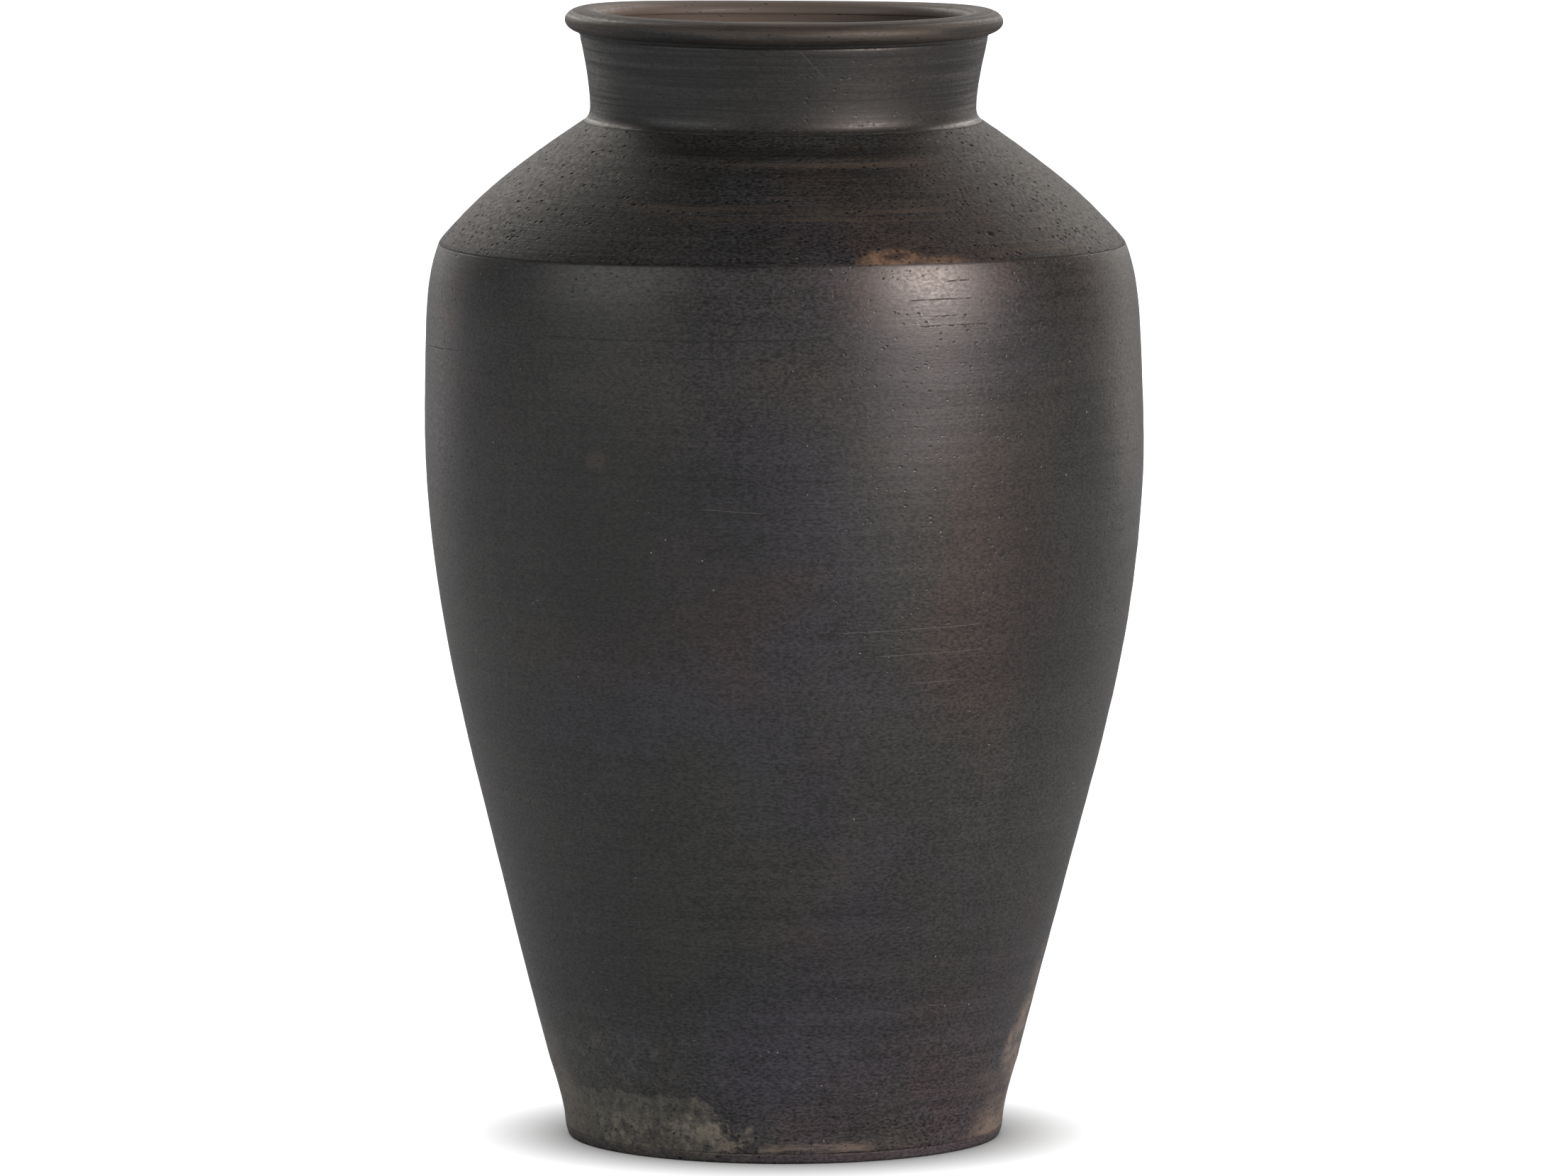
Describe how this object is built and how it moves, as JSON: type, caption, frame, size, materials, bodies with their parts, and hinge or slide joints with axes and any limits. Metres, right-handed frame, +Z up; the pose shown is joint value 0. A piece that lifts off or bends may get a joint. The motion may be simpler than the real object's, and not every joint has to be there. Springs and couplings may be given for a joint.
{
  "type": "black clay jar",
  "caption": "Tall unglazed black clay jar with a narrow flat foot, high shoulder, short flaring neck and rolled rim.",
  "frame": {"origin": "centre of the flat foot, on the ground", "axes": "+Z up along the jar's axis of turning; X and Y are interchangeable"},
  "size_m": [0.324, 0.324, 0.51],
  "materials": {
    "burnished_clay": "smoke-blackened clay, burnished in fine turned lines, low satin sheen",
    "smoked_clay": "smoke-blackened clay, matt, turned and brushed",
    "bare_clay": "bare smoke-blackened clay, matt, cut and worn",
    "inner_clay": "rough inside clay, matt, brownish"
  },
  "bodies": {
    "root": {"base_disc": "bare_clay", "lower_wall": "burnished_clay", "upper_wall": "burnished_clay", "shoulder": "smoked_clay", "neck_collar": "burnished_clay", "rim_roll": "burnished_clay", "base_joint_coil": "inner_clay", "waist_joint_coil": "inner_clay", "shoulder_joint_coil": "inner_clay", "neck_joint_coil": "inner_clay"}
  },
  "joints": []
}
